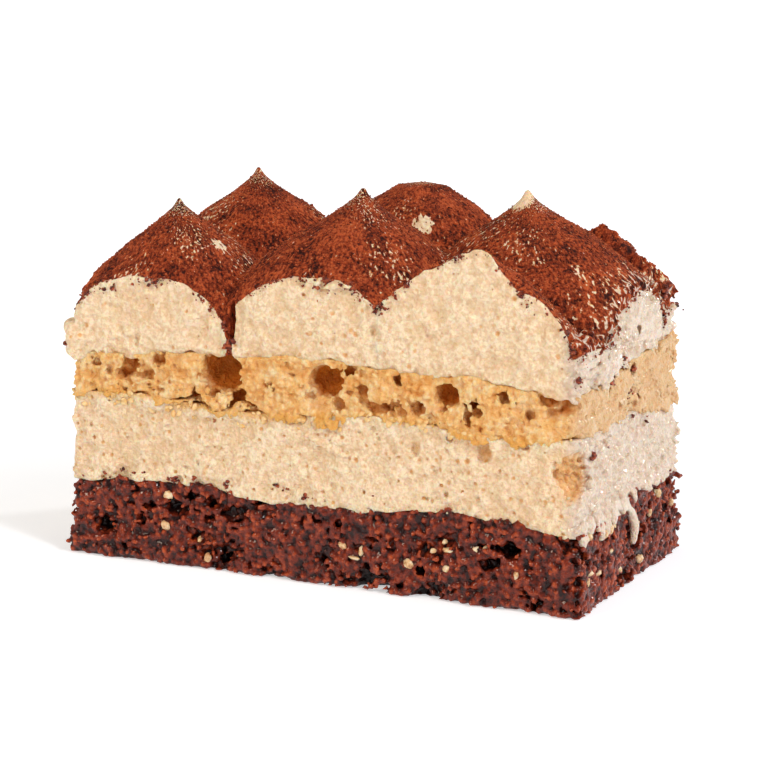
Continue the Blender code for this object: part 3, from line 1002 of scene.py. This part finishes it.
body = higher(body, seat, 0.8)
for across, deep_in, height, radii, ragged in EXTRA_CREAM:
    lump_relief = ragged * (0.8 * wobble + 0.5 * mottle + 0.2 * pins) + right_side * 0.6 * (whipped - 0.5)
    kiss_points.add(body, (across + MIDDLE_X, deep_in, height), radii, lump_relief, 0.6)
kiss_points.carve(
    body,
    (GAP_BETWEEN_FRONT_KISSES[0] + MIDDLE_X, *GAP_BETWEEN_FRONT_KISSES[1:]),
    (0.95, 4.6, 5.2),
    0.12 * mottle,
)
# The kiss in the back right corner has a torn top, a ridge of lumps that falls towards the corner
torn = np.random.default_rng(18)
for way in np.linspace(0.0, 1.0, 6):
    place = (36.0 + 10.0 * way + MIDDLE_X, 20.0 + torn.uniform(-1.0, 0.5), 56.5 - 9.0 * way ** 1.4)
    lump_relief = 0.8 * wobble + 0.5 * mottle + 0.2 * pins
    kiss_points.add(body, place, (2.9 - 1.1 * way, 4.0 - 0.8 * way, 3.7 - 1.0 * way), lump_relief, 0.6)
# Small hollows in the cuts
for _ in range(8):
    side = torn.choice(("front", "right", "back"))
    place, along = on_cut(side, torn.uniform(-1.0, 1.0), torn.uniform(41.0, 49.0))
    radii = torn.uniform(0.6, 1.3, 3)
    kiss_points.carve(body, place, radii, 0.12 * mottle + 0.08 * wobble)
# A flake of whiter cream stands on the front of the middle kiss
for way in np.linspace(0.0, 1.0, 8):
    height = 53.0 + 0.8 * np.sin(0.8 * np.pi * way)
    radius = 0.3 + 0.4 * np.sin(np.pi * way)
    place = (2.5 + 5.0 * way + MIDDLE_X, front_y(height) - 0.1, height)
    kiss_points.add(body, place, (1.2 * radius, 0.75, radius), 0.1 * pins, 0.2)
draw = np.random.default_rng(8)
crumb_bubbles(kiss_points, body, draw, 300, (38.0, 60.0), (0.30, 0.65), 0.10 * pins, reach=0.6)
edge = cut - skin - 0.10 + 0.22 * mottle + 0.18 * pins - 1.0 * right_side
bare = np.clip(0.5 + edge / 0.35, 0.0, 1.0)
pit = np.clip(-higher(cut, skin), 0.0, 4.0)

# Bare flakes in the cocoa: kiss, way round it in degrees, distance from the tip, radius, how bare
FLAKES = (
    ("kiss_front_left", -15.0, 10.0, 1.3, 0.7),
    ("kiss_middle_right", 215.0, 2.0, 1.8, 1.0),
    ("kiss_back_middle", -65.0, 14.0, 1.8, 0.9),
    ("kiss_middle_right", -40.0, 17.0, 1.2, 0.5),
)
wear = np.random.default_rng(9)
worn_spots = []
for kiss in KISSES.values():
    worn_spots.append((*kiss["at"], 3.0, 0.36))  # the tip itself
    for _ in range(5):
        turn = wear.uniform(0.0, 2 * np.pi)
        out = wear.uniform(4.0, 17.0)
        spot = (kiss["at"][0] + out * np.cos(turn), kiss["at"][1] + out * np.sin(turn))
        worn_spots.append((*spot, wear.uniform(2.5, 5.0), wear.uniform(0.20, 0.28)))
for name, degrees, out, radius, amount in FLAKES:
    turn = np.radians(degrees)
    spot = (KISSES[name]["at"][0] + out * np.cos(turn), KISSES[name]["at"][1] + out * np.sin(turn))
    worn_spots.append((*spot, radius, amount))


def worn_at(places):
    """How much of the cocoa is missing at points on the kisses."""
    worn = np.zeros(len(places))
    for across, deep_in, radius, amount in worn_spots:
        away = np.hypot(places[:, 0] - MIDDLE_X - across, places[:, 1] - deep_in)
        worn = np.maximum(worn, amount * np.clip(1.6 - away / radius, 0.0, 1.0))
    past = places[:, 0] - MIDDLE_X
    low_right = np.clip((past - 39.0) / 9.0, 0.0, 1.0) * np.clip((60.0 - places[:, 2]) / 8.0, 0.0, 1.0)
    return np.maximum(worn, 0.38 * low_right)


def down_from_tip(kiss):
    """Gives points of a kiss as seen round its own axis, so that streaks can run down from its tip."""

    def seen(places):
        x = places[:, 0] - MIDDLE_X - kiss["at"][0]
        y = places[:, 1] - kiss["at"][1]
        away = np.hypot(x, y)
        fall = np.hypot(away, places[:, 2] - kiss["tip"])
        return MM * np.stack([20.0 * x / (away + 6.0), 20.0 * y / (away + 6.0), fall], axis=1)

    return seen


# depth, relief and pits steer painted shade in the cream's finish; gap darkens the cocoa in its hollows as
# painted shade, and also draws more grains there
kiss_marks = {
    "bare": bare,
    "depth": pit,
    "relief": knife_relief,
    "pits": pits,
    "soak": np.clip(1.0 + (seat + 0.3) / 1.6, 0.0, 1.0) * (0.5 + 0.2 * mottle),
    # This mark covers the right cut, where the cream is dragged; its colour there is partly painted light
    "fresh": right_side,
    "gap": np.clip(dust / 0.55, 0.0, 1.0),
    "worn": worn_at,
}
for name, kiss in KISSES.items():
    own = float(section_radius(kiss, JOINT_HEIGHT))
    beyond = np.full((kiss_points.shape[0], kiss_points.shape[1], 1), -FAR, np.float32)
    for other_name, other in KISSES.items():
        if other_name == name:
            continue
        across = np.array(other["at"]) - np.array(kiss["at"])
        distance = float(np.hypot(*across))
        theirs = float(section_radius(other, JOINT_HEIGHT))
        share = 0.5 * (distance + (own * own - theirs * theirs) / distance)
        past = (x - kiss["at"][0]) * across[0] / distance + (y - kiss["at"][1]) * across[1] / distance
        beyond = np.maximum(beyond, (past - share).astype(np.float32))
    own_body = np.maximum(body + 0.35 * np.maximum(beyond, 0.0), beyond - 0.8)
    own_marks = {**kiss_marks, "around": down_from_tip(kiss)}
    kiss["piece"] = kiss_points.solid(name + "_cream", own_body, own_marks, flatness=0.01)

cream, cream_colour, ripple = cream_finish("dusted_cream")
around = cream.mark("around", "Vector")
powder = cream.grain(0.32, 3.0)
drift = cream.grain(4.5, 3.0)
weave = cream.grain(0.5, 2.0, stretch=(1.0, 1.0, 0.45), place=around)
dashes = cream.grain(0.5, 1.5, stretch=(1.0, 1.0, 0.45), place=around)
dusted = 1.0 - cream.steps(cream.mark("bare") + 0.5 * (powder - 0.5), 0.35, 0.6)
thin = cream.steps(dashes + 0.08 * (powder - 0.5) + 0.5 * cream.mark("worn"), 0.725, 0.775)
sheer = cream.steps(dashes + 0.5 * cream.mark("worn"), 0.62, 0.78)
# Painted shade: the cocoa is darker where the gap mark is high, in the hollows between the knobs of its
# dusting
cocoa = cream.ramp(
    0.22 * powder + 0.32 * weave + 0.28 * drift + 0.18 * (1.0 - cream.mark("gap")),
    [(0.40, (0.030, 0.003, 0.001)), (0.48, (0.23, 0.029, 0.006)), (0.57, (0.54, 0.100, 0.026))],
)
cocoa = cream.mix(sheer * 0.5, cocoa, (0.52, 0.15, 0.045))
covered = dusted * (1.0 - thin)
fresh = cream.mark("fresh")
dusted_cream = cream.finish(
    cream.mix(covered, cream_colour, cocoa),
    roughness=0.5 + 0.45 * covered,
    normal=cream.dents(ripple + covered * (0.5 * powder + 0.7 * weave - ripple), 0.9),
    sheen=(0.15 + 0.85 * fresh) * (1.0 - covered),
)
for name, kiss in KISSES.items():
    set_in_place([kiss["piece"]], dusted_cream, "dusted_cream", name)

# --- Cocoa powder ----------------------------------------------------------------------------------
# Cocoa sieved over the kisses: besides the film on the cream, grains and small clumps of it lie on
# the domes, most of them in the hollows.


LOWEST_POWDER = 42.0


def powdered_places(lean):
    """Points on the dusted skin of all the kisses, and how likely a grain is to lie there."""
    places = []
    chances = []
    for kiss in KISSES.values():
        mesh = kiss["piece"].data
        corners = point_vectors(mesh, "co")
        up = point_vectors(mesh, "normal")[:, 2]
        bareness, worn, gaps = [point_marks(mesh, mark) for mark in ("bare", "worn", "gap")]
        open_air = corners[:, 2] > LOWEST_POWDER * MM
        chance = (bareness < 0.3) * (up > 0.05) * open_air * np.clip(1.0 - 2.2 * worn, 0.0, 1.0)
        places.append(corners / MM)
        chances.append(chance * (1.0 - lean + lean * gaps))
    return np.concatenate(places), np.concatenate(chances)


def sieve(name, seed, count, sizes, sink):
    """Cocoa grains of a range of half sizes, laid on the domes and joined."""
    grains = Stones(seed, round_shapes(seed, 1, 0.15))
    places, chances = powdered_places(0.5)
    chosen = grains.draw.choice(len(places), count, replace=False, p=chances / chances.sum())
    for place in places[chosen]:
        size = sizes[0] + (sizes[1] - sizes[0]) * grains.draw.uniform() ** 2
        radii = size * grains.draw.uniform(0.7, 1.2, 3)
        grains.lay(place + (0.0, 0.0, (1.0 - sink) * size), radii)
    return grains.joined(name)


cocoa_powder = Finish("cocoa_powder", 0.85, gloss=0.2)
shade = cocoa_powder.grain(0.8, 1.0)
set_in_place(
    [sieve("cocoa_grains", 51, 8500, (0.10, 0.21), 0.7), sieve("cocoa_clumps", 52, 450, (0.16, 0.32), 0.9)],
    cocoa_powder.finish(
        cocoa_powder.ramp(
            shade, [(0.38, (0.06, 0.008, 0.003)), (0.50, (0.26, 0.038, 0.011)), (0.60, (0.50, 0.100, 0.034))]
        ),
        normal=cocoa_powder.dents(cocoa_powder.grain(0.15), 0.05),
    ),
    "dusted_cream",
)

# --- Chocolate crumbs ------------------------------------------------------------------------------
# Dark crumbs and damp clumps of cocoa that the knife carried along: below the rims of the kisses,
# on the lip at the left corner, in the gap between two kisses and on the right cut.

dark = Stones(23, ragged_shapes(71, 0.65))
specks = Stones(24, round_shapes(81, 1, 0.3))


def lay_crumb(place, along, size, tall):
    """A crumb pressed into a cut that runs along x or y, with a few specks round it."""
    for _ in range(4):
        part = dark.draw.uniform(0.45, 0.8, 3) * np.array((size, 0.5 * (size + tall), tall))
        shift = dark.draw.uniform(-0.6, 0.6, 3) * (size, size, tall)
        shift[1 - along] *= 0.3
        dark.lay(place + shift, part[[0, 1, 2] if along == 0 else [1, 0, 2]], turned=False)
    for _ in range(specks.draw.integers(2, 7)):
        shift = specks.draw.normal(0.0, 0.4 + 0.6 * size, 3)
        shift[1 - along] = 0.0
        shift[2] = -abs(shift[2])  # they fell
        if abs(place[0] + shift[0] - MIDDLE_X) > HALF_LENGTH or abs(place[1] + shift[1]) > HALF_DEPTH + 1.0:
            shift[along] = -shift[along]
        speck = specks.draw.uniform(0.07, 0.24)
        specks.lay(place + shift, (speck, speck, speck))


def strew(side, count, ways, heights, sizes):
    """Crumbs spread over part of a cut."""
    for _ in range(count):
        place, along = on_cut(side, dark.draw.uniform(*ways), dark.draw.uniform(*heights))
        size = dark.draw.uniform(*sizes)
        lay_crumb(place, along, size, size * dark.draw.uniform(0.6, 1.0))


strew("front", 15, (-1.0, 0.3), (15.5, 17.5), (0.3, 0.9))  # at the foot of the lower cream
strew("front", 5, (-0.36, -0.30), (40.5, 42.5), (0.5, 1.0))  # in the gap between two kisses
strew("right", 14, (-1.0, 0.6), (26.0, 46.0), (0.3, 1.0))
strew("back", 46, (-1.0, 1.0), (16.0, 48.0), (0.3, 0.9))
strew("left", 22, (-0.8, 0.9), (16.0, 48.0), (0.3, 0.8))
# On the lip at the left corner, and as a dark nub at the torn back right corner
for middle, spread, count in (((-49.8, -25.4, 40.2), 1.2, 8), ((49.0, 19.2, 49.8), 1.1, 5)):
    for _ in range(count):
        size = dark.draw.uniform(0.5, 1.2)
        place = np.array(middle) + dark.draw.uniform(-spread, spread, 3)
        dark.lay(place + (MIDDLE_X, 0.0, 0.0), (size, size, 0.8 * size))
# The knife pulled cocoa down from the rims, more of it in some places than in others
for kiss in KISSES.values():
    mesh = kiss["piece"].data
    count = len(mesh.vertices)
    corners = point_vectors(mesh, "co") / MM
    bareness = point_marks(mesh, "bare")
    across, deep_in, height = corners.T
    on_cut = np.maximum(np.abs(across - MIDDLE_X) - HALF_LENGTH, np.abs(deep_in) - HALF_DEPTH) > -1.2
    often = 0.5 + 0.5 * np.sin(0.9 * across + 0.7 * deep_in) * np.sin(0.37 * across + 1.1 * deep_in)
    chance = (np.abs(bareness - 0.5) < 0.45) * on_cut * (height > 44.0) * often ** 2
    if not chance.any():
        continue
    for place in corners[specks.draw.choice(count, 260, p=chance / chance.sum())]:
        size = 0.08 + 0.30 * specks.draw.uniform() ** 3
        fall = specks.draw.exponential(0.5)
        specks.lay(place - (0.0, 0.0, fall), size * specks.draw.uniform(0.7, 1.3, 3))
    for place in corners[dark.draw.choice(count, 10, p=chance / chance.sum())]:
        along = 0 if abs(place[1]) - HALF_DEPTH > abs(place[0] - MIDDLE_X) - HALF_LENGTH else 1
        size = dark.draw.uniform(0.3, 0.85)
        lay_crumb(place - (0.0, 0.0, dark.draw.exponential(1.0)), along, size, 0.8 * size)
damp = Finish("damp_cocoa", 0.4, gloss=0.2, sheen=0.3)
shade = damp.grain(0.7, 2.0)
set_in_place(
    [dark.joined("chocolate_crumbs"), specks.joined("chocolate_specks")],
    damp.finish(
        damp.ramp(
            shade, [(0.36, (0.05, 0.006, 0.003)), (0.50, (0.20, 0.028, 0.009)), (0.62, (0.42, 0.085, 0.028))]
        ),
        normal=damp.dents(damp.grain(0.35), 0.2),
    ),
    "chocolate_sponge",
)

# --- Light crumbs ----------------------------------------------------------------------------------
# Crumbs of the light sponge that the knife pressed into the top of the lower cream.

loose = Stones(25, ragged_shapes(91, 0.65))
for _ in range(130):
    across = loose.draw.uniform(-48.0, 6.0)
    height = float(cream_top(across + MIDDLE_X, -26.0)) - loose.draw.uniform(-0.3, 2.4)
    size = loose.draw.uniform(0.25, 0.7)
    loose.lay((across + MIDDLE_X, front_y(height) + 0.4, height), size * loose.draw.uniform(0.6, 1.2, 3))
for _ in range(170):
    side = loose.draw.integers(3)
    size = loose.draw.uniform(0.3, 0.8)
    if side == 0:
        across = loose.draw.uniform(6.0, 49.0)
        height = float(cream_top(across + MIDDLE_X, -26.0)) - loose.draw.uniform(-0.6, 0.8)
        place = (across + MIDDLE_X, front_y(height) + 0.3, height)
    elif side == 1:
        across = loose.draw.uniform(-48.0, 48.0)
        height = float(cream_top(across + MIDDLE_X, 26.0)) - loose.draw.uniform(-0.6, 1.6)
        place = (across + MIDDLE_X, -0.3 - front_y(height), height)
    else:
        deep_in = loose.draw.uniform(-25.0, 25.0)
        height = float(cream_top(MIDDLE_X - 50.0, deep_in)) - loose.draw.uniform(-0.6, 1.6)
        place = (2 * MIDDLE_X - right_x(height) + 0.3, deep_in, height)
    loose.lay(place, size * loose.draw.uniform(0.6, 1.2, 3))
yellow = Finish("loose_light_crumb", 0.5, scatter=0.2, gloss=0.4)
set_in_place(
    [loose.joined("light_crumbs")],
    yellow.finish(
        yellow.ramp(yellow.grain(1.2), [(0.35, (0.82, 0.44, 0.14)), (0.60, (0.93, 0.64, 0.32))]),
        normal=yellow.dents(yellow.grain(0.3), 0.15),
    ),
    "light_sponge",
)
